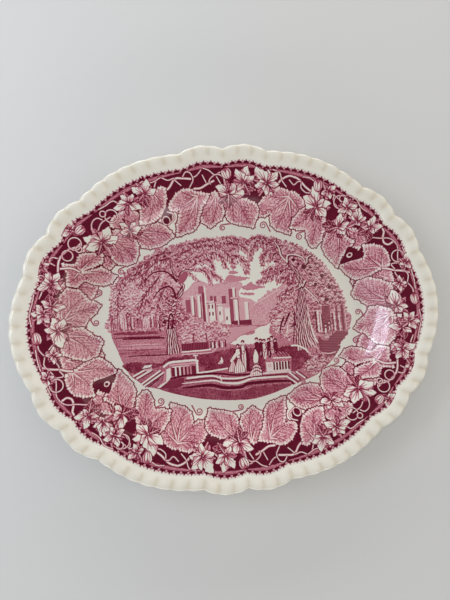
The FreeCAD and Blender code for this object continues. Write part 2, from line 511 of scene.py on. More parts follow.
def ring(x, y, radius, start=0, turns=1.0):
    """A tendril's loop."""
    t = np.radians(start) + np.linspace(0, 2 * math.pi * turns, int(16 * turns) + 1)
    shrink = np.linspace(1, 0.75, len(t)) if turns > 1 else 1
    tendril(np.stack([x + radius * shrink * np.cos(t), y + radius * shrink * np.sin(t)], -1))


def curl(x, y, radius, tail):
    """A pink curl on the bare ground, grown from a leaf tip."""
    first = math.atan2(tail[1] - y, tail[0] - x) + 0.9
    t = np.linspace(0, 2.9 * math.pi, 26)
    shrink = radius * (1 - 0.08 * t)
    spiral = np.stack([x + shrink * np.cos(first + t), y + shrink * np.sin(first + t)], -1)
    spiral = np.vstack([[tail], spiral])
    plate.stroke(spiral, (1.6, 1.2, 1.0), 0.42)
    plate.stroke(spiral, (0.6, 0.35), 0.85)


# ---- Border ---------------------------------------------------------------------------

def band(outer, inner, tone):
    """A closed band that follows the edge, between two insets."""
    angle = np.linspace(0, 2 * math.pi, 1600)
    plate.wash(np.vstack([around(angle, outer), around(angle, inner)[::-1]]), tone)


GROUND_OUTER = 14.3       # insets of the dark ground's edges
GROUND_INNER = 46.0
TEETH = 310               # in its outer edge, long and short by turns
TOOTH_TIPS = (13.4, 12.6)


def draw_ground():
    """The dark ground, its toothed outer edge, and the pale stripe of each lobe."""
    band(GROUND_OUTER, GROUND_INNER, DARK + 0.02 * stipple)
    angle = np.linspace(0, 2 * math.pi, 4000)
    line = around(angle, GROUND_OUTER + 0.3)
    along = np.concatenate([[0], np.cumsum(np.hypot(*np.diff(line, axis=0).T))])
    for k in range(TEETH):
        a = np.interp(along[-1] * (k + np.array([-0.32, 0, 0.32])) / TEETH, along, angle)
        tip = around(a[1], TOOTH_TIPS[k % 2])
        plate.wash([around(a[0], GROUND_OUTER + 0.5), tip, around(a[2], GROUND_OUTER + 0.5)], 0.96)
        if k % 2 == 0:
            spot = around(a[1], GROUND_OUTER + 0.7)
            plate.line([spot, spot + GRAIN], 1.7, 0.2)
            plate.line([spot, spot + GRAIN], 0.7, 0.7)
    for start, end in zip(LOBE_STARTS, LOBE_STARTS[1:]):
        share = np.linspace(0.02, 0.98, 40)
        a = start + share * (end - start)
        depth = 2.7 * np.sin(math.pi * share) ** 0.7
        stripe = np.vstack([around(a, 16.4), around(a, 16.4 + depth)[::-1]])
        plate.wash(stripe, tint(0.6 + 0.05 * stipple))
        plate.stroke(around(a, 16.6 + 0.45 * depth), (0.2, 0.6, 0.2), 0.36, strength=0.8)


LEAVES = (
    # Each leaf: its margin, the junction of its veins, and where they end. The first ones lie
    # under the others
    (((-157, -16), (-148, -12), (-136, -16), (-126, -20), (-122, -26), (-126, -32), (-138, -40),
      (-150, -40), (-155, -34), (-157, -24)),
     (-152, -26), ((-126, -26), (-136, -20), (-138, -36))),
    (((-134, -64), (-128, -56), (-121, -60), (-113, -62), (-108, -70), (-112, -80), (-122, -76),
      (-131, -71)),
     (-114, -78), ((-132, -65), (-121, -62), (-124, -73))),
    (((124, -34), (128, -28), (135, -24), (144, -24), (151, -30), (153, -40), (146, -45),
      (136, -45), (128, -42), (123, -39)),
     (150, -37), ((125, -36), (134, -27), (132, -42))),
    (((104, -60), (110, -54), (119, -52), (127, -56), (133, -64), (130, -74), (120, -78),
      (108, -76), (104, -68)),
     (112, -77), ((110, -56), (122, -54), (131, -66))),
    (((76, -88), (84, -84), (96, -86), (106, -90), (104, -97), (95, -103), (84, -104),
      (77, -99)),
     (92, -87), ((79, -98), (92, -101), (102, -95))),
    (((-61, -114), (-66, -113.5), (-70, -110), (-75, -105), (-77, -97), (-74, -88), (-69, -84),
      (-65.5, -84), (-64.5, -76), (-60, -78), (-55, -80), (-50, -82), (-46, -87), (-44.5, -91),
      (-45, -97), (-40, -95), (-33.5, -95), (-31.5, -105), (-38, -112), (-44, -115),
      (-50, -118), (-55, -117)),
     (-60.5, -109.5), ((-64.5, -77), (-34.5, -96), (-50, -83), (-74, -92), (-40, -113))),
    (((-4, -117), (-15, -112), (-20, -111), (-27, -108.5), (-31, -106), (-33, -103),
      (-33.5, -97), (-31, -92), (-28, -84.5), (-24, -87), (-19, -87.5), (-14, -89), (-10, -90),
      (-6, -92), (-3, -94), (-1.5, -100), (0, -108)),
     (-4, -115), ((-26.5, -87), (-9, -91), (-31, -103))),
    (((8, -118), (2, -110), (-0.5, -100), (3, -94), (8, -91.5), (13.5, -87), (17, -90),
      (22, -93), (24, -102), (21, -110), (13, -117)),
     (8, -116), ((13, -88.5), (2, -98), (22, -97))),
    (((24, -118), (20, -117.5), (14, -116), (15, -113), (20, -107), (24, -97), (25, -91),
      (31, -84.5), (36, -84), (41, -82), (47, -80.5), (46, -92), (44, -98), (42, -104),
      (47, -103), (53, -103), (52, -109), (45, -117), (40, -120), (33, -121), (29, -119)),
     (25.5, -114.5), ((46.5, -82), (52, -103.5), (31, -86), (40, -119))),
    (((53, -88), (48.5, -81.5), (55, -77), (60, -73.5), (66, -71.5), (73, -71), (79, -72),
      (82, -74), (86, -80), (84, -90), (71, -93), (62, -93.5), (57, -91.5)),
     (84, -86), ((49.5, -82), (66, -73), (80, -73), (60, -92))),
    (((62, -121), (58, -124), (54, -122), (53.5, -115), (55, -107), (58, -101), (64, -96),
      (71, -93), (80, -92), (78, -105), (70, -116)),
     (66, -118), ((72, -94), (57, -103), (78, -100))),
    (((86, -84), (83, -74), (84, -66), (86, -60), (90, -57.5), (96, -56.5), (102, -57.5),
      (106, -60), (109, -65), (116, -68), (120, -76), (112, -84), (100, -88)),
     (108, -80), ((86, -60.5), (98, -57.5), (109, -66), (88, -80))),
    (((136, -52), (128, -53), (118, -56), (113, -53), (110, -50), (105, -47.5), (110, -41),
      (116, -39), (122, -39.5), (128, -41), (133, -44), (140, -38), (148, -40), (146, -50),
      (150, -60), (139, -58), (134, -67), (125, -68), (115, -68), (116, -60), (124, -56)),
     (137, -51), ((106, -47.5), (116, -67), (146, -42), (134, -66), (128, -42))),
    (((146, 0), (138, 0), (134, -8), (130, -11), (126, -15), (122, -20.5), (126, -24.5),
      (131, -26), (138, -36), (148, -38), (156, -28), (158, -14), (154, -4)),
     (154, -8), ((123.5, -20.5), (136, -5), (134, -30), (150, -36))),
    (((-148, 2), (-139, 2), (-136, -1), (-130, -7), (-124, -10), (-122, -13), (-125, -19),
      (-128, -26), (-137, -29), (-146, -26), (-156, -20), (-156, -8)),
     (-153, -4), ((-123, -13), (-131, -26), (-140, 0), (-150, -24))),
    (((-148, -36), (-140, -31), (-127, -27), (-121, -31), (-116, -36), (-111, -43),
      (-118, -46), (-124, -48), (-132, -47), (-133, -52), (-130, -60), (-137, -60),
      (-145, -58), (-150, -54), (-153, -48), (-154, -38)),
     (-148, -37), ((-112, -42.5), (-126, -29), (-131, -58), (-148, -54))),
    (((-114, -80), (-116, -70), (-124, -64), (-121, -58), (-115, -52), (-110, -40),
      (-104, -47), (-99, -53), (-96, -60), (-96, -67), (-98, -72), (-100, -82), (-106, -86)),
     (-108, -80), ((-110, -41.5), (-97, -62), (-121, -60), (-100, -76))),
    (((-88, -100), (-96, -90), (-97, -80), (-95, -68), (-89, -62.5), (-85, -62), (-82, -67),
      (-80, -73), (-79.5, -80), (-73, -80), (-68, -82), (-64.5, -82), (-66, -90), (-72, -97),
      (-80, -102)),
     (-86.5, -98.5), ((-85, -63.5), (-66, -83), (-93, -74), (-72, -94))),
)

FLOWERS = (
    # Each flower: its centre, its pale petals and its dark petals
    ((-86.5, -98.5), ((-98.5, -100), (-93, -104), (-83, -115), (-75, -107.5), (-95, -90)),
     ((-74.5, -96), (-93, -86.5), (-86, -86))),
    ((-4, -115.5), ((-18.5, -117), (-11, -123), (7, -121)),
     ((6.5, -109), (6, -115), (-13.5, -109), (-4, -103.5))),
    ((89, -86.5), ((84, -93), (80, -89), (97, -92), (97, -86)),
     ((81, -80), (88, -79), (97, -80.5), (77, -86.5))),
    ((114.5, -77), ((102, -82), (108, -89), (128, -81), (127, -72)),
     ((119.5, -65), (101, -79), (105, -75))),
    ((74, -117), ((64, -121), (71, -129), (83, -123)), ((70, -106), (68, -113), (80, -110))),
    ((-136, -75), ((-147, -75), (-140, -70), (-140, -85), (-128, -77)),
     ((-133, -62), (-125, -68), (-125, -71))),
    ((-108, -79), ((-114, -72), (-118, -80), (-109, -91)),
     ((-93, -82), (-97, -77), (-114, -68))),
    ((-157.5, 1), ((-167, 3), (-161, 11.5), (-153, 10), (-161, -10), (-155, -13)),
     ((-166, -5), (-149, -9), (-146, 5))),
    ((161, -22), ((168, -27), (151, -21)), ((154, -29), (162, -33), (158, -12))),
    ((159, -42.5), ((152, -38), (170, -39), (153, -51), (163, -52)), ((166, -46), (156, -33))),
    ((-18, -124), ((-22, -137), (-12, -135), (-27, -129), (-13, -118)),
     ((-29, -117), (-24, -114))),
    ((88, -109.5), ((78, -105), (84, -117), (94, -116), (100, -106)), ()),
    ((-124, -82), ((-132, -85), (-126, -78), (-127, -93), (-119, -95)), ()),
    ((-39, -122.5), ((-50, -121), (-39, -113), (-49, -131), (-41, -133), (-31, -136), (-29, -121)),
     ()),
    ((168, -16), ((177, -18), (173, -9), (163.5, -9), (172.5, -24)), ((160, -17),)),
    ((-162, -20), ((-168, -20), (-156, -20), (-162, -27), (-162, -13)), ()),
    ((-115, -95), ((-124, -97), (-118, -88), (-107, -92), (-113, -104)), ()),
    ((-97, -112), ((-104, -116), (-99, -105), (-91, -110)), ()),
    ((139, -88), ((146, -84), (138, -96)), ((132, -84),)),
    ((-168, -40), ((-172, -34), (-170, -48), (-163, -38)), ()),
    ((166, -58), ((172, -52), (160, -60), (166, -66)), ()),
)

BUDS = ((-88, -118, 8, 11, 0), (-2, -133, 9, 10, 20), (131, -88, 7.5, 10, -50),
        (-174.5, -5, 7.5, 11, 10))

VINES = (
    ((-82, -112), (-76, -117), (-70, -124), (-64, -127), (-60, -127.5), (-54, -125),
     (-50, -121)),
    ((10, -126.5), (16, -124), (22, -121), (28, -120.5)),
    ((136, -52), (142, -55), (151, -55)),
    ((153, -52), (152, -60), (149, -66), (143, -71), (136, -73), (132, -76)),
    ((31, -129), (37, -129.5), (45, -129.5), (50, -123), (52.5, -120.5)),
    ((-171, -30), (-165, -32), (-158, -33), (-152, -35), (-148, -36)),
    ((-157, -60), (-153, -58), (-149, -60), (-148, -65), (-149, -70), (-148, -73)),
)

TENDRILS = (
    ((-81, -111), (-76, -112), (-72, -116), (-72, -120)),
    ((-72, -122), (-69, -122), (-65, -119.5), (-61, -124)),
    ((-84, -122), (-80, -125), (-74, -126)),
    ((-112, -96), (-108, -94), (-104, -99), (-102, -103), (-103, -108), (-103, -112),
     (-98, -115), (-92, -112), (-90, -109)),
    ((-112, -97), (-105, -106), (-98, -108.5), (-91, -107.5)),
    ((13, -124), (14, -127), (10, -131), (3, -134)),
    ((17, -125.5), (20, -132)),
    ((-2, -122), (1, -129), (5, -132), (9, -132), (14, -136), (19, -138)),
    ((21, -136.5), (25, -132), (29, -130)),
    ((3, -123), (7, -130)),
    ((32, -122), (29, -127), (29, -130), (31, -134), (35, -135), (38, -131)),
    ((40, -123.5), (46, -129)),
    ((46, -130), (52, -128.5), (58, -131), (62, -128), (64, -123)),
    ((112, -96), (116, -97.5), (120, -95), (121.5, -90), (119, -83)),
    ((117, -85), (113, -93), (105, -98)),
    ((155, -58), (159, -61), (157, -65), (152, -64)),
    ((-169, -21), (-170, -28), (-166, -33), (-162, -39), (-161, -45), (-161.5, -55),
     (-158, -61), (-153, -64), (-145, -64.5), (-137, -66)),
    ((-174, -11), (-173, -15), (-169, -20), (-164, -22), (-160, -27), (-158, -31)),
    ((-158, -34), (-155, -39), (-161, -40)),
    ((-162, -11), (-168, -18)),
    ((-176, -14), (-175, -24), (-172, -36), (-168, -48), (-166, -54)),
    ((170, -30), (167, -38), (172, -44), (168, -50), (163, -48)),
    ((-30, -128), (-34, -124), (-30, -120), (-26, -124)),
    ((-58, -118), (-54, -124), (-52, -131), (-46, -134)),
    ((58, -131), (66, -127), (74, -128), (80, -124)),
    ((96, -108), (101, -112), (108, -108), (114, -105)),
    ((-134, -90), (-128, -95), (-124, -102), (-117, -106)),
    ((178, -6), (179, -16), (176, -26), (174, -34)),
)

RINGS = ((-108.5, -101, 6), (-111, -104, 3), (104, -99, 5.5), (111, -101, 2.5),
         (137, -76, 5.5), (134, -71, 2.5), (144, -66, 4.5), (-161, -46.5, 5.5))

CURLS = ((-73.5, -74, 3.4, (-79, -79)), (-38, -87, 3.6, (-44.5, -81)), (2, -87, 3.0, (-5, -90.5)),
         (101, -51, 3.0, (96, -56)), (123, -33, 3.2, (129, -27)),
         (127.5, -5, 3.0, (133, -9.5)), (66, -69, 2.2, (61, -72)))


def draw_border():
    """Half of the border's sprays. The other half is this one turned half way round."""
    for outline, junction, tips in LEAVES:
        stem_end = 1.12 * np.array(junction)
        plate.line([junction, stem_end], 1.6, 0.9)
        leaf(outline, junction, tips)
    plate.wash(curve([(-131, -49), (-122, -46), (-113, -44), (-116, -51), (-120, -60)], True), DARK)
    plate.wash(curve([(60, -96), (56, -91), (51, -94), (50, -101), (55, -106)], True), DARK)
    ring(-121, -52, 2.2, turns=1.3)
    ring(55.5, -95.5, 3.4)
    tendril(((54, -92), (48, -97), (49, -101), (54, -102.5)))
    for points in VINES:
        vine(points)
    for points in TENDRILS:
        tendril(points)
    for x, y, radius in RINGS:
        ring(x, y, radius)
    for centre, pale, dark in FLOWERS:
        flower(centre, pale, dark)
    for x, y, width, height, lean in BUDS:
        bud(x, y, width, height, lean)
    for x, y, radius, tail in CURLS:
        curl(x, y, radius, tail)


# ---- Landscape ------------------------------------------------------------------------

FOLIAGE = 0.09 * stipple + 0.15 * cloudy(1.3) + 0.08 * cloudy(4.5)


def ragged(outline, size=1.1):
    """A smooth outline made uneven, as leaves make it."""
    line = even(curve(outline, True), 1.1, closed=True)
    push = size * rng.normal(size=len(line)).clip(-1.6, 1.6)
    return line + sideways(line, closed=True) * push[:, None]


def foliage(outline, tone, blobs, size=2.2, pale=0.3, dark=0.85):
    """A mass of leaves: lit clumps over dark hollows."""
    edge = ragged(outline)
    plate.wash(edge, tint(tone + FOLIAGE))
    rows, columns, mask = plate.inside(edge)
    spots = np.argwhere(mask)
    plate.hold(edge)
    for k in rng.integers(len(spots), size=blobs):
        x = plate.x[columns][spots[k, 1]]
        y = plate.y[rows][spots[k, 0]]
        wide = size * rng.uniform(0.5, 1.3)
        lean = rng.uniform(-0.6, 0.6)
        left, right = (x - 0.5 * wide, y - lean * 0.5), (x + 0.5 * wide, y + lean * 0.5)
        below = 0.45 * wide + 0.2
        plate.stroke([(left[0], left[1] - below), (x, y - 1.5 * below),
                      (right[0], right[1] - below)],
                     (0.3, 0.8, 0.3), dark, strength=0.8)
        plate.stroke([left, (x, y + 0.35 * wide), right], (0.5, 1.1, 0.5),
                     pale + rng.uniform(-0.12, 0.12), strength=0.75)
    plate.hold()


def spray(points, width, tone=0.58):
    """A hanging bough: short leaf marks off both sides of a twig, dark, middle and lit."""
    line = even(curve(points), 1.5)
    side = sideways(line)
    ahead = np.stack([side[:, 1], -side[:, 0]], -1)
    width = np.interp(np.linspace(0, 1, len(line)), np.linspace(0, 1, len(width)), width)
    for spot, out, on, reach in zip(line, side, ahead, width):
        for sign in (-1, 1):
            way = reach * rng.uniform(0.4, 0.6) * (0.7 * sign * out + on) - (0, 0.12 * reach)
            plate.line([spot, spot + way], (1.2, 2.0, 0.8), tone + rng.uniform(0, 0.16),
                       strength=0.8)
    plate.line(line - (0, 0.2), (0.9, 0.4), 0.92, strength=0.85)
    for change, share, wide in ((0.32, 0.9, 1.2), (0, 0.7, 1.5), (-0.2, 0.6, 1.3),
                                (-0.5, 0.7, 0.8)):
        for spot, out, on, reach in zip(line, side, ahead, width):
            for _ in range(max(1, int(share * reach / 2.4))):
                sign = rng.choice((-1, 1))
                root = spot + sign * out * reach * rng.uniform(0.02, 0.5) + on * rng.uniform(-1, 1)
                way = sign * rng.uniform(0.2, 1.1) * out + rng.uniform(0.4, 1.1) * on - (0, 0.45)
                root = root + (0, -2 * change)
                plate.line([root, root + way * rng.uniform(1.0, 2.1)], (0.5 * wide, wide, 0.3),
                           np.clip(tone + change + rng.uniform(-0.06, 0.06), 0.03, 0.97),
                           strength=0.85)


def trunk(points, width, lines=5):
    """A tree's trunk, with its bark drawn along it."""
    line = even(curve(points), 1.0)
    side = sideways(line)
    taper = np.interp(np.linspace(0, 1, len(line)), np.linspace(0, 1, len(width)), width)
    edge = np.vstack([line + side * taper[:, None] / 2, (line - side * taper[:, None] / 2)[::-1]])
    plate.wash(edge, tint(0.5 + FOLIAGE))
    for k, share in enumerate(np.linspace(-0.5, 0.5, lines)):
        wobble = 0.3 * np.sin(np.arange(len(line)) * rng.uniform(0.5, 0.9) + 9 * share)
        path = line + side * (share * taper + wobble)[:, None]
        plate.line(path, 0.9, 0.95, strength=0.9)
        if k < lines - 1:
            path = line + side * ((share + 0.5 / (lines - 1)) * taper + wobble)[:, None]
            plate.line(path, 0.75, 0.1, strength=0.85)


def block(left, bottom, right, top, tone):
    """An upright rectangle."""
    plate.wash([(left, bottom), (right, bottom), (right, top), (left, top)], tone)


def draw_sky_and_hills():
    haze = tint(0.34 + 0.06 * ruled(1.3, 90) + 0.05 * stipple)
    plate.wash(curve([(-47, 24), (-40, 30), (-34, 36), (-27, 37), (-18, 33), (-8, 34), (2, 35),
                      (10, 34), (13, 30), (9, 24), (10, 19), (20, 16), (27, 12), (36, 18),
                      (34, 2), (-47, 2)], True), haze)
    for cloud in (((0, 43), (4, 45), (10, 43), (5, 41.5)),
                  ((-3, 38), (1, 41), (8, 39), (21, 37), (12, 35), (-2, 34)),
                  ((12, 28.5), (17, 30), (21, 32.5), (26, 29.5), (35, 27), (26, 25.5), (16, 25)),
                  ((10, 22.3), (16, 22.8), (25, 21), (17, 19.8))):
        plate.wash(ragged(cloud, 0.4), tint(0.47 + 0.08 * ruled(1.2, 90)))
    plate.wash(ragged([(18, 8), (24, 12), (30, 16), (36, 20), (38, 24), (41, 22), (43, 25),
                       (46, 24), (50, 26), (62, 32), (66, -2), (40, -10), (18, -8)], 0.5),
               tint(0.36 + 0.05 * ruled(1.4, 60) + 0.07 * stipple))
    plate.line([(22, 10), (34, 16), (50, 24)], 0.5, 0.12)


def draw_castle():
    block(-43, 0, -28, 20, tint(0.52 + 0.08 * ruled(1.4, 0)))
    block(-43, 8, -38.5, 20, 0.64)
    block(-30, 25, -25, 32, 0.6)
    block(-27.4, -4, -24.8, 26, 0.72)
    for left, bottom, right, top, tone in (
            (-38.3, 5, -35.3, 22.5, 0.04), (-32.3, 2, -29, 23, 0.04), (-35.3, 3, -34.3, 22, 0.8),
            (-29, 1, -28, 23, 0.75), (-24.8, -4, -23.2, 31.5, 0.02), (-23.2, -4, -15.3, 16.4, 0.05),
            (-19.5, 17, -16.8, 22, 0.78), (-15.8, 16, -13.4, 21.5, 0.7), (-15.3, -4, -14, 15, 0.75),
            (-14, -4, -8.2, 13, 0.07), (-8.4, 14, -4.4, 21.2, 0.72), (-8.2, -5, -0.8, 8.7, 0.05),
            (-1.2, -4, 2.3, 27.5, 0.7), (2.3, 19, 5.2, 27.8, 0.03), (5.2, 19, 6.2, 27.5, 0.7),
            (0.3, 17.4, 7.8, 19.2, 0.3), (2.8, -4, 7, 17.4, 0.04), (7, -4, 8, 17, 0.72),
            (8, -4, 12.6, 8, 0.35), (12.6, -3, 16.8, 14, 0.08), (16.8, -3, 17.8, 13, 0.5)):
        block(left, bottom, right, top, min(tone, 0.66))
        if tone < 0.1:
            block(left, bottom, left + 0.28 * (right - left), top, 0.3)
    for x, y in ((-21, 11.5), (-17.8, 11.5), (-21, 4.5), (-17.8, 4.5), (-11, 4.5), (-4.4, -1)):
        block(x - 0.6, y - 1.7, x + 0.6, y + 1.5, 0.9)
        plate.dot(x, y + 1.5, 1.2, 0.9)
    for x, y in ((-38.3, 22.5), (-36.4, 22.5), (-32.3, 23), (-30.2, 23), (-24.9, 31.5),
                 (2.2, 27.8), (4.2, 27.8)):
        block(x, y, x + 1.1, y + 1.1, 0.1)
    for left, right, low, high, tone in (
            (-23, -15.5, 16.4, 17.5, 0.12), (-13.8, -8.5, 13, 14, 0.14), (-8, -1, 8.7, 9.7, 0.14)):
        for x in np.arange(left, right, 2.0):
            block(x, low, x + 1.1, high, tone)
    plate.line([(-23.2, 15.2), (-15.3, 15.2)], 0.5, 0.7)
    plate.line([(-14, 11.8), (-8.2, 11.8)], 0.5, 0.7)
    plate.line([(0.3, 17.2), (7.8, 17.2)], 0.6, 0.85)
    block(-0.8, -10, 19.4, -3.7, tint(0.8 + 0.06 * ruled(1.3, 0)))
    block(5.8, -10, 7.2, -3.7, 0.15)


def draw_meadow():
    land = [(-113, -3), (-80, -5), (-46, -4), (-20, -5), (20, -9), (38, -9), (46, -2), (60, -2),
            (116, -4), (116, -22), (112, -28), (107, -34), (100, -47), (85, -60), (72, -66),
            (58, -69), (50, -72), (35, -77), (15, -80.5), (0, -80), (-20, -78), (-40, -74),
            (-60, -67), (-76, -61), (-97, -50), (-104, -38), (-109, -25)]
    plate.wash(curve(land, True), tint(0.52 + 0.05 * ruled(1.2, 90) + 0.06 * stipple))
    plate.wash(ragged([(-4, -25.5), (3, -22), (8, -18.5), (20, -18), (22, -15), (20, -12.5),
                       (30, -11), (38, -9), (46, -4.5), (42, -8), (38, -11), (36, -18), (40, -24),
                       (30, -27), (10, -27)], 0.35), 0.02)
    plate.wash(curve([(0, -10), (20, -10), (24, -13), (10, -17), (-2, -24), (-8, -24),
                      (-14, -14)], True),
               tint(0.38 + 0.07 * ruled(1.3, 80)))
    for y, low, high, tone, wide in (
            (-7, -112, -72, 0.72, 3.6), (-3.5, -100, -68, 0.2, 1.6), (-11, -112, -70, 0.82, 1.6),
            (-12.6, -104, -66, 0.92, 2.0), (-16, -110, -66, 0.5, 3), (-18.3, -106, -70, 0.3, 1.2),
            (-21, -109, -66, 0.42, 3), (-23.5, -104, -70, 0.72, 1.0), (-26, -108, -64, 0.6, 3.5),
            (-29, -100, -62, 0.9, 1.4), (-32, -106, -52, 0.52, 3.2)):
        slope = -0.045 * (high - low)
        plate.stroke([(low, y), (0.5 * (low + high), y + 0.4 * slope), (high, y + slope)],
                     (0.5 * wide, wide, 0.7 * wide), tint(tone + 0.06 * stipple))
    plate.wash(ragged([(-106, -37), (-96, -35), (-86, -36), (-70, -38), (-60, -33.5),
                       (-30, -33), (0, -30), (14, -31), (40, -33), (56, -32), (72, -38),
                       (84, -45), (74, -52), (50, -58), (0, -57), (-50, -52), (-64, -44),
                       (-90, -46), (-100, -44)], 0.5),
               tint(0.76 + 0.05 * ruled(1.2, 85) + 0.06 * stipple + 0.05 * cloudy(5)))
    foliage([(-50, 2), (-40, 6), (-32, 2), (-24, -3), (-14, -2), (-5, -6), (-2, -14), (-8, -21),
             (-20, -22), (-50, -22)], 0.42, 230, 1.7, pale=0.2, dark=0.68)
    block(-50, -28.5, -24, -21.5, tint(0.82 + 0.1 * ruled(1.6, 0)))
    for x, low, high in ((-38, -29, -13), (-25.5, -28, -14), (-26.5, -14.5, -13.5)):
        plate.line([(x, low), (x, high)], 1.3, 0.75, strength=0.8)
    plate.stroke([(-50, -29.3), (-25, -29.3), (-22.5, -28), (-18, -24.8)], 1.3, 0.04)
    plate.stroke([(-50, -31.6), (-24, -32.2), (-20, -30.5), (-15, -27)], 0.9, 0.25)
    for x, tone in ((-22, 0.9), (-20.4, 0.1), (-18.5, 0.9), (-16.5, 0.15), (-14, 0.9),
                    (-11.2, 0.06), (-8, 0.85)):
        plate.line([(x, -27.5), (x + 0.2, -22)], (1.6, 1.0), tone)
        plate.dot(x + 0.2, -21.7, 0.9, 0.85)


def draw_terrace():
    plate.wash([(-98, -48.5), (-88, -44), (-66, -40), (-60, -37.5), (-36, -37.5), (-36, -50),
                (-8, -50), (20, -55), (58, -57), (72, -66), (58, -70), (35, -70), (0, -68),
                (-40, -66), (-75, -62), (-88, -58)], tint(0.58 + 0.06 * stipple))
    plate.wash([(-96, -48.2), (-88, -44.5), (-80, -41), (-77, -44), (-92, -51)], 0.5)
    for low, high in (((-97, -48), (-84, -42)), ((-94, -50.5), (-80, -43.5)),
                      ((-90, -56), (-72, -45)), ((-88, -58), (-69, -47))):
        plate.line([low, high], 1.5, 0.03)
        plate.line([(low[0] + 1.2, low[1] - 1.2), (high[0] + 1.2, high[1] - 1.2)], 0.8, 0.9)
    plate.line([(-84, -59.5), (-74, -53)], 1.0, 0.9)
    plate.wash([(-90, -43), (-86, -39), (-78, -38.4), (-80.5, -42.5)], 0.9)
    plate.wash([(-89, -41.8), (-86, -39), (-78.5, -38.6), (-81, -41)], 0.05)
    plate.wash([(-88, -42.6), (-81, -42), (-79.5, -40), (-79.6, -43), (-84, -44.6)], 0.3)
    plate.wash([(-76, -61), (-68, -55), (-66, -44.5), (-62, -43), (-62, -52), (-70, -61)], 0.04)
    plate.wash([(-74, -59), (-70, -56), (-68, -46), (-66, -45), (-67, -56)], 0.45)
    plate.stroke([(-68, -41.5), (-62, -38.3), (-50, -38), (-40, -38), (-36, -39)], 2.2, 0.04)
    plate.line([(-62, -40.8), (-38, -40.8)], 1.8, 0.36)
    plate.line([(-60, -42.8), (-45, -42.8)], 1.2, 0.2)
    block(-61, -51.5, -38, -43.4, 0.85)
    for x, tone in ((-57.3, 0.04), (-53.3, 0.08), (-49.5, 0.4), (-46, 0.5), (-43, 0.5)):
        plate.line([(x, -43.5), (x, -51)], 1.7, tone)
    plate.stroke([(-36.6, -39), (-36.6, -50.5)], 2.2, 0.04)
    plate.line([(-39.5, -33.8), (-35.5, -33.8)], 1.1, 0.1)
    plate.line([(-37.5, -34), (-37.5, -37)], 1.6, 0.2)
    plate.stroke([(-37, -50.6), (-24, -50), (-8, -48.8)], 1.6, 0.04)
    plate.stroke([(-62, -53.5), (-50, -52), (-30, -52.2), (-16, -53), (0, -56), (20, -56.4)],
                 1.9, 0.93)
    plate.wash([(-74, -62), (-62, -54), (-50, -53.5), (-50, -60), (-56, -63)],
               tint(0.78 + 0.06 * ruled(1.2, 80)))
    plate.stroke([(-47, -54.6), (-30, -54.2), (-21, -55), (-13, -57.8), (0, -59.2), (9, -59)],
                 1.7, 0.03)
    plate.stroke([(10, -58.6), (18, -57.2), (38, -57.3), (53, -57.8), (58, -60)], 1.2, 0.1)
    plate.stroke([(-49, -56.6), (-24, -56.6), (-14, -60), (2, -61.2), (14, -59.6), (50, -59.6)],
                 1.1, 0.88)
    plate.line([(-15.5, -55.5), (-14, -62)], 1.1, 0.1)
    plate.stroke([(-52, -59.2), (-23, -59), (-13, -62.2), (0, -64), (8, -62.8), (16, -61),
                  (38, -61.4), (50, -62)], (0.8, 1.4, 2.2, 2.0, 1.6), 0.04)
    plate.stroke([(-52, -63.5), (-26, -63.2), (-12, -67), (4, -67.8), (14, -65.2), (50, -66.4),
                  (56, -70)], (1.6, 3.2, 3.0, 3.0, 1.6), 0.96)
    for start, finish in (((53, -58.5), (61, -66)), ((60, -58.5), (68, -65)),
                          ((50, -62), (59, -69))):
        plate.line([start, finish], 1.7, 0.05)
        plate.line([(start[0] + 2, start[1]), (finish[0] + 2, finish[1])], 1.0, 0.9)
    plate.wash(curve([(-74, -62), (-62, -62.5), (-30, -66), (-10, -70), (8, -70.5), (20, -68.5),
                      (46, -69), (54, -70.5), (48, -73), (35, -76.5), (15, -80), (0, -80),
                      (-20, -78), (-40, -74), (-60, -68)], True),
               tint(0.70 + 0.08 * ruled(1.3, 88) + 0.05 * stipple + 0.03 * cloudy(6)))
    plate.wash([(30, -41.5), (38, -36), (52, -38.5), (56, -44), (55, -56), (29, -56)],
               tint(0.55 + 0.08 * stipple))
    for k in range(5):
        plate.line([(40 + 3 * k, -37 - 0.3 * k), (43.5 + 3 * k, -42)], 1.0, 0.85)
    plate.line([(38, -43), (55, -43.8)], 1.3, 0.06)
    block(30.5, -55.5, 37, -46.5, 0.1)
    plate.dot(33.6, -50, 3.2, 0.35)
    plate.dot(33.6, -50, 1.6, 0.1)
    block(37, -55.5, 53, -46.8, 0.05)
    for x in np.arange(37.3, 53, 2.9):
        block(x, -54.8, x + 1.7, -47.2, 0.97)
    plate.line([(29, -56.4), (54, -56.2)], 1.2, 0.15)
    plate.stroke([(57, -32.4), (63, -33), (70, -36.6), (73, -40)], 1.7, 0.02)
    foliage([(67, -54), (71, -49), (78, -46), (86, -46), (95, -49), (92, -54), (86, -58),
             (78, -63), (71, -61)], 0.5, 70, 2.2, pale=0.15)


def gown(x, foot, top, width, tiers=0):
    """A full pale dress: a bell of folds."""
    t = np.linspace(0, 1, 8)
    half = 0.5 * width * (0.25 + 0.75 * smooth(1.25 * t))
    y = top + t * (foot - top)
    outline = np.vstack([np.stack([x - half, y], -1), np.stack([x + half, y], -1)[::-1]])
    plate.rim(outline, 1.2, 0.93)
    plate.wash(outline, 0.04)
    plate.hold(outline)
    for share in (-0.34, -0.12, 0.08, 0.3):
        plate.stroke([(x + 0.2 * share * width, top), (x + 0.8 * share * width, 0.5 * (top + foot)),
                      (x + share * width, foot)], (0.3, 0.7), 0.6, strength=0.8)
    for k in range(tiers):
        y = top + (foot - top) * (0.35 + 0.2 * k)
        plate.stroke([(x - 0.5 * width, y - 1), (x, y + 1.2), (x + 0.5 * width, y - 1.6)], 0.9,
                     0.85)
    plate.hold()


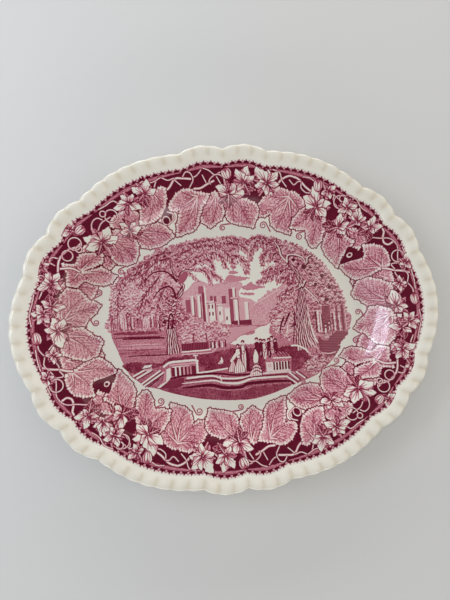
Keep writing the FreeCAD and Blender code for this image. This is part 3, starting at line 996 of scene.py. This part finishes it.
def bust(x, shoulder, head, width, tone):
    """Shoulders, a bent arm and a head with dark hair, all a few millimetres tall."""
    plate.line([(x, shoulder - 5.5), (x, shoulder)], (0.7 * width + 1, width + 1.2), 0.93)
    plate.line([(x, shoulder - 5.5), (x, shoulder)], (0.7 * width, width), tone)
    plate.stroke([(x + 0.4 * width, shoulder), (x + 0.7 * width, shoulder - 3),
                  (x, shoulder - 4.6)], 0.7, 0.8)
    plate.dot(x, head + 0.5, 3.2, 0.93)
    plate.dot(x - 0.2, head - 0.3, 1.7, 0.25)


def coat(x, foot, shoulder, width, tone):
    """A long coat, seen as one upright stroke."""
    plate.stroke([(x, foot), (x + 0.3, shoulder)], (0.6 * width, width, 0.9 * width), tone)
    plate.line([(x - 0.1 * width, foot + 1), (x, shoulder - 3)], 0.6, 0.12 if tone > 0.5 else 0.7)


def draw_people():
    for x, foot, shoulder, head, tone in (
            (22.5, -40, -27.5, -23.5, 0.9), (26.3, -40, -28, -25, 0.92),
            (34.5, -41, -28, -25, 0.92), (29.8, -42, -29, -25.5, 0.15),
            (37.5, -37, -27.5, -23.2, 0.3), (41, -38, -29, -26, 0.9)):
        coat(x, foot, shoulder, 4.2, tone)
        bust(x, shoulder - 0.5, head, 3.0, tone)
    plate.stroke([(12.2, -52), (12.8, -40), (11.6, -29)], (3.4, 2.6, 1.4), 0.93)
    coat(9, -53, -28.5, 4.0, 0.1)
    bust(8.8, -29.5, -25, 3.2, 0.1)
    gown(-2.3, -52.5, -42, 8)
    gown(4, -54, -40, 10)
    bust(3.6, -33, -28.2, 4.2, 0.06)
    plate.stroke([(3, -34), (0, -38), (-3.5, -42)], (2.4, 3.0, 2.2), 0.06)
    gown(20.5, -58.5, -43, 10, tiers=3)
    plate.stroke([(20.5, -44), (21, -39), (21, -35)], (6, 6.4, 3.4), 0.93)
    plate.stroke([(20.3, -44), (20.8, -39), (21, -35.4)], (4.8, 5.2, 2.4), 0.04)
    plate.dot(20.9, -32.8, 3.2, 0.93)
    plate.dot(20.5, -33.8, 1.6, 0.25)
    plate.stroke([(16, -55), (15, -57.5)], 3.0, 0.2)
    plate.stroke([(-15.6, -43.2), (-13.2, -42.2), (-12.6, -40)], (1.6, 3.4, 2.0), 0.05)
    plate.dot(-12.9, -38.4, 1.5, 0.1)
    plate.stroke([(-15, -42.6), (-13, -43.6)], 0.7, 0.6)
    gown(93.5, -28.5, -20, 5)
    bust(93, -19, -15.5, 2.0, 0.05)
    gown(97.5, -26, -18, 3)
    bust(97, -17, -13, 1.4, 0.15)


def draw_left_trees():
    mass = [(-115, -4), (-115.5, 8), (-114, 18), (-113, 27), (-110, 36), (-105, 43), (-99, 48),
            (-93, 53), (-86, 57), (-81, 60), (-75, 65), (-71, 64), (-70, 68.5), (-60, 71),
            (-52, 73), (-47, 70), (-43, 74), (-38, 66), (-36, 56), (-40, 46), (-44, 34),
            (-46, 16), (-47, -4)]
    plate.wash(ragged(mass), tint(0.47 + FOLIAGE))
    for x, y, wide, high in ((-93, 28, 9, 12), (-109, 32, 4, 7), (-59, 43, 6, 4.5), (-43, 55, 7, 5),
                             (-53, 36, 6, 5), (-80, 9, 7, 6), (-110, 24, 4, 6), (-70, 38, 5, 5)):
        t = np.linspace(0, 2 * math.pi, 12, endpoint=False)
        foliage(np.stack([x + wide * np.cos(t), y + high * np.sin(t)], -1), 0.34,
                int(0.9 * wide * high), 1.5, pale=0.14, dark=0.62)
    for x in np.concatenate([np.arange(-114, -97, 1.9), np.arange(-96, -66, 1.7)]):
        top = rng.uniform(10, 20) if x < -97 else rng.uniform(6, 14)
        tone = rng.choice((0.78, 0.66, 0.12))
        plate.line([(x, rng.uniform(-5, -2)), (x + rng.uniform(-0.8, 0.8), top)],
                   rng.uniform(0.5, 1.0), tone, 0.85)
    foliage([(-115, 12), (-108, 20), (-98, 18), (-90, 14), (-80, 16), (-68, 16), (-66, 8), (-76, 8),
             (-88, 6), (-97, 9), (-106, 11)], 0.5, 190, 1.7, pale=0.2, dark=0.8)
    for points, width in (
            (((-103, 36), (-106, 26), (-107, 12)), (3, 4, 2)),
            (((-75, 52), (-87, 47), (-98, 44), (-104, 35)), (5, 7, 6, 4)),
            (((-66, 44), (-73, 36), (-82, 25), (-87, 12)), (4, 7, 8, 3)),
            (((-53, 61), (-67, 58), (-80, 47), (-84, 36)), (5, 8, 8, 4)),
            (((-52, 66), (-64, 65), (-76, 58), (-88, 52)), (4, 7, 7, 5)),
            (((-60, 34), (-66, 26), (-70, 14)), (4, 6, 3)),
            (((-56, 70), (-62, 66), (-72, 62)), (4, 6, 4))):
        spray(points, width, tone=0.55)
    trunk([(-58, -30), (-58.5, -12), (-57, 4), (-53, 18), (-49.5, 25), (-45, 31)],
          (12, 9, 8, 6, 4, 2.6), lines=6)
    foliage([(-66, -4), (-66, 12), (-62, 24), (-54, 30), (-49, 22), (-50, 6), (-52, -4)], 0.66,
            110, 1.5, pale=0.12, dark=0.93)
    plate.stroke([(-61, -6), (-60, 3), (-57.5, 8), (-56, 2), (-58, -6)], 1.4, 0.95)
    trunk([(-49, 24), (-44.5, 32), (-47, 38), (-52, 45), (-55, 58)], (3.4, 2.6, 2.0, 1.6, 0.9), 3)
    trunk([(-47, 40), (-44, 46.5), (-36, 48), (-26, 46.5)], (2.2, 1.8, 1.3, 0.7), 2)
    plate.stroke([(-52, 22), (-54, 31), (-60, 34), (-68, 30), (-73, 24)], (1.8, 1.5, 0.7), 0.93)
    plate.stroke([(-50, 38), (-57, 46.5), (-65, 49), (-73, 47), (-81, 39)], (1.8, 1.3, 0.6), 0.93)
    plate.stroke([(-48, 52), (-46, 60), (-48, 68)], (1.4, 0.8), 0.93)
    plate.wash(curve([(-48, 36), (-47, 43), (-42, 47), (-38, 46), (-42, 38)], True), 0.62)
    plate.line([(-70, 2), (-69, -8)], 0.9, 0.9)


def draw_canopy():
    """The boughs that hang across the sky from the left tree."""
    top = [(-50, 72), (-43, 75), (-33, 77), (-21, 77.5), (-10, 78), (2, 78), (12, 78), (21, 75),
           (22, 70), (17, 68), (20, 63), (14, 64), (8, 61), (2, 61), (-4, 59), (-12, 57),
           (-20, 59), (-28, 54), (-36, 50), (-46, 52), (-52, 60)]
    foliage(top, 0.5, 300, 2.3, pale=0.3)
    for points, width in (
            (((-50, 58), (-40, 66), (-24, 70), (-11, 69), (-2, 63)), (4, 7, 8, 6, 4)),
            (((-36, 56), (-26, 61), (-12, 62), (-5, 58), (-2, 49)), (4, 7, 8, 7, 3)),
            (((-40, 72), (-28, 74), (-14, 75), (-4, 71)), (4, 6, 6, 4)),
            (((0, 62), (4, 57), (6.5, 49)), (5, 7, 3)),
            (((5, 60), (12, 57), (17, 51), (18.5, 43)), (5, 7, 8, 5)),
            (((3, 71), (13, 69), (19, 65), (22.5, 59)), (6, 7, 6, 3)),
            (((0, 77), (8, 76), (16, 73)), (5, 6, 3)),
            (((-35, 51), (-28, 55.5), (-18, 56), (-14.5, 50), (-13.5, 44)), (2, 5, 6, 5, 2)),
            (((-33, 48), (-22, 48), (-12, 41), (-4, 34)), (2, 5, 5, 2)),
            (((-30, 49), (-22, 45), (-17, 34)), (2, 4, 2)),
            (((-38, 46), (-34, 42), (-30, 38)), (2, 3, 1))):
        spray(points, width, tone=0.5)


def draw_right_trees():
    mass = [(30, 77), (37, 76), (48, 75), (57, 71), (68, 67.5), (76, 62), (84, 56.5), (92, 50),
            (97, 45), (101, 38), (106, 32), (108, 26), (112, 18), (115, 9), (116, -4), (114, -22),
            (60, -26), (61, -4), (62, 14), (56, 24), (52, 31), (54, 38), (48, 46), (44, 56),
            (38, 62), (30, 68)]
    foliage(mass, 0.5, 500, 2.3, pale=0.25)
    foliage([(84, 54), (96, 44), (106, 28), (112, 10), (100, 2), (84, 20), (78, 40)], 0.58, 260,
            2.6, pale=0.18, dark=0.93)
    for points, width in (
            (((48, 70), (38, 74), (28, 75), (22, 70)), (5, 8, 7, 4)),
            (((50, 65), (38, 69), (28, 68), (21, 54)), (5, 8, 8, 3)),
            (((52, 60), (42, 62), (36, 57), (34.5, 49)), (5, 8, 7, 3)),
            (((56, 54), (50, 58), (44, 56), (40, 52)), (4, 7, 6, 3)),
            (((62, 46), (50, 45), (40, 43), (34, 41)), (5, 8, 7, 4)),
            (((64, 42), (52, 41), (40, 36), (28, 32)), (5, 9, 8, 3)),
            (((66, 38), (58, 35), (48, 32)), (4, 7, 3)),
            (((70, 26), (60, 22), (48, 16)), (4, 6, 3)),
            (((66, 24), (56, 15), (46, 10)), (3, 5, 2))):
        spray(points, width, tone=0.56)
    foliage([(38, 4), (50, 10), (60, 16), (64, -4), (60, -26), (46, -22), (38, -12)], 0.42, 170,
            1.8, pale=0.15, dark=0.72)
    for points in (((57, -1), (54, -7), (51, -13)), ((51, -5), (48, -12), (46.5, -19)),
                   ((63, -12), (58, -14))):
        plate.stroke(points, (2.0, 1.6, 1.0), 0.92)
    plate.line([(54.5, -12), (54, -19)], 1.0, 0.08)
    trunk([(73, -36), (70.5, -24), (70, -8), (70.5, 8), (72, 20)], (22, 15, 13, 10, 6), lines=9)
    trunk([(72, 20), (70.5, 33), (66, 42), (59, 50.5)], (6, 4.4, 3.4, 2.4), lines=4)
    for points, width in (
            (((59, 50), (53.5, 56.5), (52, 64), (48.5, 70)), (1.6, 1.4, 0.8)),
            (((59, 49.5), (60, 56), (67, 56.5), (75, 53), (78, 47)), (1.5, 1.2, 1.2, 0.8)),
            (((79, 48), (80, 53), (84, 55)), (1.2, 0.8)),
            (((72, 26), (78, 20), (85, 12), (88, 8)), (1.6, 1.0)),
            (((72, 26), (68, 23)), (1.2, 0.7)),
            (((73, 25), (76, 30)), (1.2, 0.7))):
        plate.stroke(np.array(points) + (0.8, -0.8), np.array(width) + 0.8, 0.95)
        plate.stroke(points, width, 0.12)
    for x, y, wide in ((75.5, 44, 5), (65.5, 51.5, 3.4), (93, 34, 3.4), (70, 47, 2.6),
                       (86, 26, 3), (100, 22, 3), (96, 10, 4), (82, 36, 2.4)):
        plate.dot(x, y, wide, 0.95)
    plate.stroke([(76, 6), (77, -8), (79, -18), (80.5, -25), (83.5, -31), (88.5, -36)],
                 (0.8, 1.2, 1.7, 2.0), 0.03)
    plate.stroke([(72, -8), (73, -20), (76, -30), (84, -38)], (0.6, 1.1, 0.8), 0.12)
    plate.stroke([(62.5, 0), (61, -16), (59, -30)], (1.4, 1.2, 0.8), 0.93)
    block(90.5, -20, 98.5, 4, tint(0.74 + 0.06 * stipple))
    for x, tone, wide in ((86.2, 0.06, 1.4), (84, 0.9, 1.4), (88.8, 0.12, 1.0), (90.3, 0.85, 1.0),
                          (101, 0.85, 1.0), (103, 0.12, 1.1), (105.5, 0.76, 2.0), (108.0, 0.12, 0.9),
                          (111.3, 0.76, 2.4), (114.4, 0.3, 1.2)):
        plate.line([(x, -21), (x - 0.3, rng.uniform(-6, 3))], wide, tone)
    plate.wash(ragged([(85, -26), (92, -31), (100, -24), (112, -22), (115, -25), (112, -29),
                       (107, -34), (104, -36), (107, -38), (100, -46), (92, -46), (86, -40)], 0.6),
               tint(0.76 + 0.1 * ruled(1.6, 86)))
    plate.stroke([(86, -41.5), (94, -43.5), (101, -42.5)], 1.1, 0.25)
    plate.wash(ragged([(72, -38), (80, -38), (88, -42), (92, -46), (84, -48), (74, -43)], 0.5),
               tint(0.5 + FOLIAGE))


def draw_scene():
    draw_sky_and_hills()
    draw_castle()
    draw_meadow()
    draw_right_trees()
    draw_left_trees()
    draw_canopy()
    draw_terrace()
    draw_people()


draw_ground()
for turn in (-1, 1):
    plate.turn = turn
    draw_border()
draw_scene()
plate.bite(0.7)

# ---- Meshes ---------------------------------------------------------------------------

def sheet(name, points, closed=False, flip=False, **values):
    """A mesh over a grid of points, with each named value stored at its vertices."""
    rows, columns = points.shape[:2]
    index = np.arange(rows * columns).reshape(rows, columns)
    if closed:
        index = np.hstack([index, index[:, :1]])
    quads = np.stack([index[:-1, :-1], index[:-1, 1:], index[1:, 1:], index[1:, :-1]], -1)
    quads = quads.reshape(-1, 4)
    if flip:
        quads = quads[:, ::-1]
    mesh = bpy.data.meshes.new(name)
    mesh.from_pydata((points.reshape(-1, 3) * MM).tolist(), [], quads.tolist())
    mesh.shade_smooth()
    for key, value in values.items():
        layer = mesh.attributes.new(key, "FLOAT", "POINT")
        layer.data.foreach_set("value", np.broadcast_to(value, (rows, columns)).ravel())
    piece = bpy.data.objects.new(name, mesh)
    bpy.context.scene.collection.objects.link(piece)
    return piece


def finish_piece(piece, material, slot, *nodes):
    """Gives a piece its material and hides the CAD nodes that it stands for. The slot is not used.
    """
    piece.data.materials.append(material)
    if nodes:
        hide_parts(*nodes)
    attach(piece, "root")


# ---- Materials ------------------------------------------------------------------------

def srgb(r, g, b):
    """A colour from its red, green and blue out of 255, as light."""
    def light(v):
        v /= 255
        return v / 12.92 if v <= 0.04045 else ((v + 0.055) / 1.055) ** 2.4
    return light(r), light(g), light(b), 1.0


def new_material(name):
    material = bpy.data.materials.new(name)
    material.use_nodes = True
    nodes = material.node_tree.nodes
    return material, nodes, material.node_tree.links, nodes["Principled BSDF"]


def noise(nodes, links, scale, detail, coords):
    """Patches that are fixed to the object."""
    texture = nodes.new("ShaderNodeTexNoise")
    texture.inputs["Scale"].default_value = scale
    texture.inputs["Detail"].default_value = detail
    links.new(coords.outputs["Object"], texture.inputs["Vector"])
    return texture


def colour_by(nodes, links, shader, value, stops):
    """The base colour, from a value and the colours that it runs through."""
    ramp = nodes.new("ShaderNodeValToRGB")
    elements = ramp.color_ramp.elements
    while len(elements) < len(stops):
        elements.new(0.5)
    for element, (position, colour) in zip(elements, stops):
        element.position = position
        element.color = colour
    links.new(value, ramp.inputs["Fac"])
    links.new(ramp.outputs["Color"], shader.inputs["Base Color"])


def roughen(nodes, links, shader, height, strength, distance):
    """Fine unevenness of the surface."""
    bump = nodes.new("ShaderNodeBump")
    bump.inputs["Strength"].default_value = strength
    bump.inputs["Distance"].default_value = distance
    links.new(height, bump.inputs["Height"])
    links.new(bump.outputs["Normal"], shader.inputs["Normal"])


def math_node(nodes, links, operation, first, second):
    node = nodes.new("ShaderNodeMath")
    node.operation = operation
    for socket, value in zip(node.inputs, (first, second)):
        if isinstance(value, (int, float)):
            socket.default_value = value
        else:
            links.new(value, socket)
    return node.outputs[0]


def glaze(nodes, links, shader, coords):
    """Clear glaze: glossy, with the faint unevenness of a dipped coat."""
    uneven = noise(nodes, links, 90, 2, coords)
    roughen(nodes, links, shader, uneven.outputs["Fac"], 0.10, 0.0012)
    wear = noise(nodes, links, 45, 3, coords)
    dull = nodes.new("ShaderNodeMapRange")
    dull.inputs["To Min"].default_value = 0.07
    dull.inputs["To Max"].default_value = 0.17
    links.new(wear.outputs["Fac"], dull.inputs["Value"])
    links.new(dull.outputs["Result"], shader.inputs["Roughness"])
    shader.inputs["IOR"].default_value = 1.5


CREAM = srgb(226, 222, 210)
INKS = ((0.0, CREAM), (0.15, srgb(221, 196, 192)), (0.3, srgb(211, 164, 169)),
        (0.45, srgb(199, 134, 144)), (0.6, srgb(168, 88, 106)), (0.75, srgb(134, 44, 68)),
        (0.9, srgb(104, 12, 42)), (1.0, srgb(86, 2, 30)))
# Cream glaze; the darker end stands for pooled glaze and painted shade in the grooves.
CREAMS = ((0.0, srgb(233, 229, 217)), (0.4, srgb(227, 222, 207)), (1.0, srgb(210, 198, 174)))
CLAYS = ((0.35, srgb(206, 192, 166)), (0.6, srgb(223, 212, 190)))


def printed_material():
    material, nodes, links, shader = new_material("printed_glaze")
    coords = nodes.new("ShaderNodeTexCoord")
    ink = nodes.new("ShaderNodeAttribute")
    ink.attribute_name = "ink"
    patchy = noise(nodes, links, 120, 4, coords)
    spread = math_node(nodes, links, "SUBTRACT", patchy.outputs["Fac"], 0.5)
    change = math_node(nodes, links, "MULTIPLY", spread, 0.14)
    share = math_node(nodes, links, "MULTIPLY", change, ink.outputs["Fac"])
    tone = math_node(nodes, links, "ADD", ink.outputs["Fac"], share)
    colour_by(nodes, links, shader, tone, INKS)
    glaze(nodes, links, shader, coords)
    return material


def plain_material():
    """Cream glaze, a little deeper in the grooves: partly glaze that pools there, partly painted
    shade between the flutes.
    """
    material, nodes, links, shader = new_material("cream_glaze")
    coords = nodes.new("ShaderNodeTexCoord")
    # Darker in the grooves: pooled glaze, and painted shade that brings out the flutes.
    pool = nodes.new("ShaderNodeAttribute")
    pool.attribute_name = "pool"
    patchy = noise(nodes, links, 35, 3, coords)
    change = math_node(nodes, links, "MULTIPLY", patchy.outputs["Fac"], 0.35)
    tone = math_node(nodes, links, "ADD", pool.outputs["Fac"], change)
    colour_by(nodes, links, shader, tone, CREAMS)
    glaze(nodes, links, shader, coords)
    return material


def biscuit_material():
    """Unglazed earthenware, as the foot ring shows it."""
    material, nodes, links, shader = new_material("earthenware")
    coords = nodes.new("ShaderNodeTexCoord")
    clay = noise(nodes, links, 260, 6, coords)
    colour_by(nodes, links, shader, clay.outputs["Fac"], CLAYS)
    roughen(nodes, links, shader, clay.outputs["Fac"], 0.25, 0.0004)
    shader.inputs["Roughness"].default_value = 0.75
    return material


printed = printed_material()
cream = plain_material()
biscuit = biscuit_material()

# ---- Pieces ---------------------------------------------------------------------------

STEP = 0.45               # spacing of the printed face's points
FLUTES = len(GROOVES) - 1
BORDER_STEPS = 24         # points along each flute: on the border, edge and underside
EDGE_STEPS = 22
BACK_STEPS = 8


def build_border():
    """The border's print, in the strips that it is laid in."""
    rows = int((BORDER_INNER - GADROON_INSET) / STEP) + 1
    inset = np.linspace(GADROON_INSET, BORDER_INNER, rows)[:, None]
    groove = 0
    for k, flutes in enumerate(BORDER_STRIPS):
        angle = np.linspace(GROOVES[groove], GROOVES[groove + flutes],
                            BORDER_STEPS * flutes + 1)
        points = place(angle, inset, rim_height(inset) + COAT)
        ink = plate.read(points[..., 0], points[..., 1])
        piece = sheet(f"Border_Print_{k + 1}", points, flip=True, ink=ink)
        finish_piece(piece, printed, "crimson_print", f"border_transfer_{k + 1}")
        groove += flutes


def build_centre():
    """The floor of the well, in four quarters."""
    half_x, half_y = EDGE_X - BORDER_INNER, EDGE_Y - BORDER_INNER
    for k, (sx, sy) in enumerate(((1, 1), (-1, 1), (-1, -1), (1, -1))):
        u = np.linspace(0, 1, int(half_x / STEP))
        v = np.linspace(0, 1, int(half_y / STEP))[:, None]
        x = sx * half_x * u * np.sqrt(1 - v ** 2 / 2)
        y = sy * half_y * v * np.sqrt(1 - u ** 2 / 2)
        points = np.stack(np.broadcast_arrays(x, y, WELL_FLOOR + COAT), -1)
        ink = plate.read(points[..., 0], points[..., 1])
        piece = sheet(f"Centre_Print_{k + 1}", points, flip=sx * sy < 0, ink=ink)
        nodes = ("centre_transfer",) if k == 0 else ()
        finish_piece(piece, printed, "crimson_print", *nodes)


def build_plain():
    """The edge, the back and the base, which bear no print."""
    angle = np.linspace(0, 2 * math.pi, FLUTES * EDGE_STEPS, endpoint=False)
    inset, height, scallop, groove = edge_profile(30).T[:, :, None]
    points = place(angle, inset, height, scallop, groove)
    # Grooves between the flutes coloured darker: partly glaze pooling, partly painted shade that
    # shows up the flutes.
    pool = groove_dip(angle) * groove / FLUTE_DEPTH * 0.6
    piece = sheet("Gadrooned_Edge", points, closed=True, pool=pool)
    finish_piece(piece, cream, "clear_glaze", "face_glaze")

    angle = np.linspace(0, 2 * math.pi, FLUTES * BACK_STEPS, endpoint=False)
    inset, height, scallop, _ = back_profile(60).T[:, :, None]
    points = place(angle, inset, height, scallop)
    piece = sheet("Glazed_Back", points, closed=True, pool=0.2)
    finish_piece(piece, cream, "clear_glaze", "back_glaze")

    inset = np.linspace(FOOT_INNER + 0.8, EDGE_Y, 60)[:, None]
    points = place(angle, inset, 0 * inset + RECESS - COAT)
    piece = sheet("Glazed_Base", points, closed=True, pool=0.2)
    finish_piece(piece, cream, "clear_glaze", "base_glaze")


build_border()
build_centre()
build_plain()
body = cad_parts["earthenware_body"]
body.data.materials.clear()
body.data.materials.append(biscuit)

# ---- Floor, light and camera ----------------------------------------------------------

def build_floor():
    bpy.ops.mesh.primitive_plane_add(size=6, location=(0, 0, -0.0002))
    floor = bpy.context.object
    floor.name = "Floor"
    material, _, _, shader = new_material("floor")
    shader.inputs["Base Color"].default_value = srgb(214, 214, 212)
    shader.inputs["Roughness"].default_value = 0.85
    floor.data.materials.append(material)


def lamp(name, location, target, size_x, size_y, power, colour=(1, 1, 1)):
    """A soft rectangular light, turned to its target."""
    light = bpy.data.lights.new(name, "AREA")
    light.shape = "RECTANGLE"
    light.size = size_x
    light.size_y = size_y
    light.energy = power
    light.color = colour
    holder = bpy.data.objects.new(name, light)
    bpy.context.scene.collection.objects.link(holder)
    holder.location = location
    aim = Vector(target) - holder.location
    holder.rotation_euler = aim.to_track_quat("-Z", "Y").to_euler()


def build_lights():
    world = bpy.data.worlds.new("studio")
    bpy.context.scene.world = world
    world.use_nodes = True
    world.node_tree.nodes["Background"].inputs["Color"].default_value = (0.95, 0.97, 1.0, 1)
    world.node_tree.nodes["Background"].inputs["Strength"].default_value = 0.16
    lamp("left", (-1.35, 0.1, 0.95), (0, 0, 0), 1.7, 2.3, 14.5, (0.93, 0.96, 1.0))
    lamp("right", (1.35, 0.1, 0.95), (0, 0, 0), 1.7, 2.3, 14.0, (1.0, 0.93, 0.83))
    lamp("top", (0.0, 1.6, 0.42), (0, 0, 0), 2.3, 0.45, 18.0)
    lamp("front", (0.0, -1.6, 0.42), (0, 0, 0), 2.3, 0.45, 13.0)
    lamp("window", (-0.53, 0.24, 0.52), (0.141, -0.03, 0.02), 0.5, 0.07, 1.4, (0.78, 0.85, 1.0))


def build_camera():
    """The camera, from a fit to the platter's outline in the photograph."""
    camera = bpy.data.objects.new("Camera", bpy.data.cameras.new("Camera"))
    bpy.context.scene.collection.objects.link(camera)
    camera.data.sensor_width = 36
    camera.data.lens = 27.06
    camera.data.clip_start = 0.01
    right = (0.9900, -0.0770, 0.1180)
    up = (0.0751, 0.9970, 0.0202)
    back = (-0.1192, -0.0112, 0.9928)
    matrix = Matrix((right, up, back)).transposed().to_4x4()
    matrix.translation = (-0.0570, 0.0122, 0.4392)
    camera.matrix_world = matrix
    bpy.context.scene.camera = camera


build_floor()
build_lights()
build_camera()
bpy.context.scene.view_settings.view_transform = "Standard"
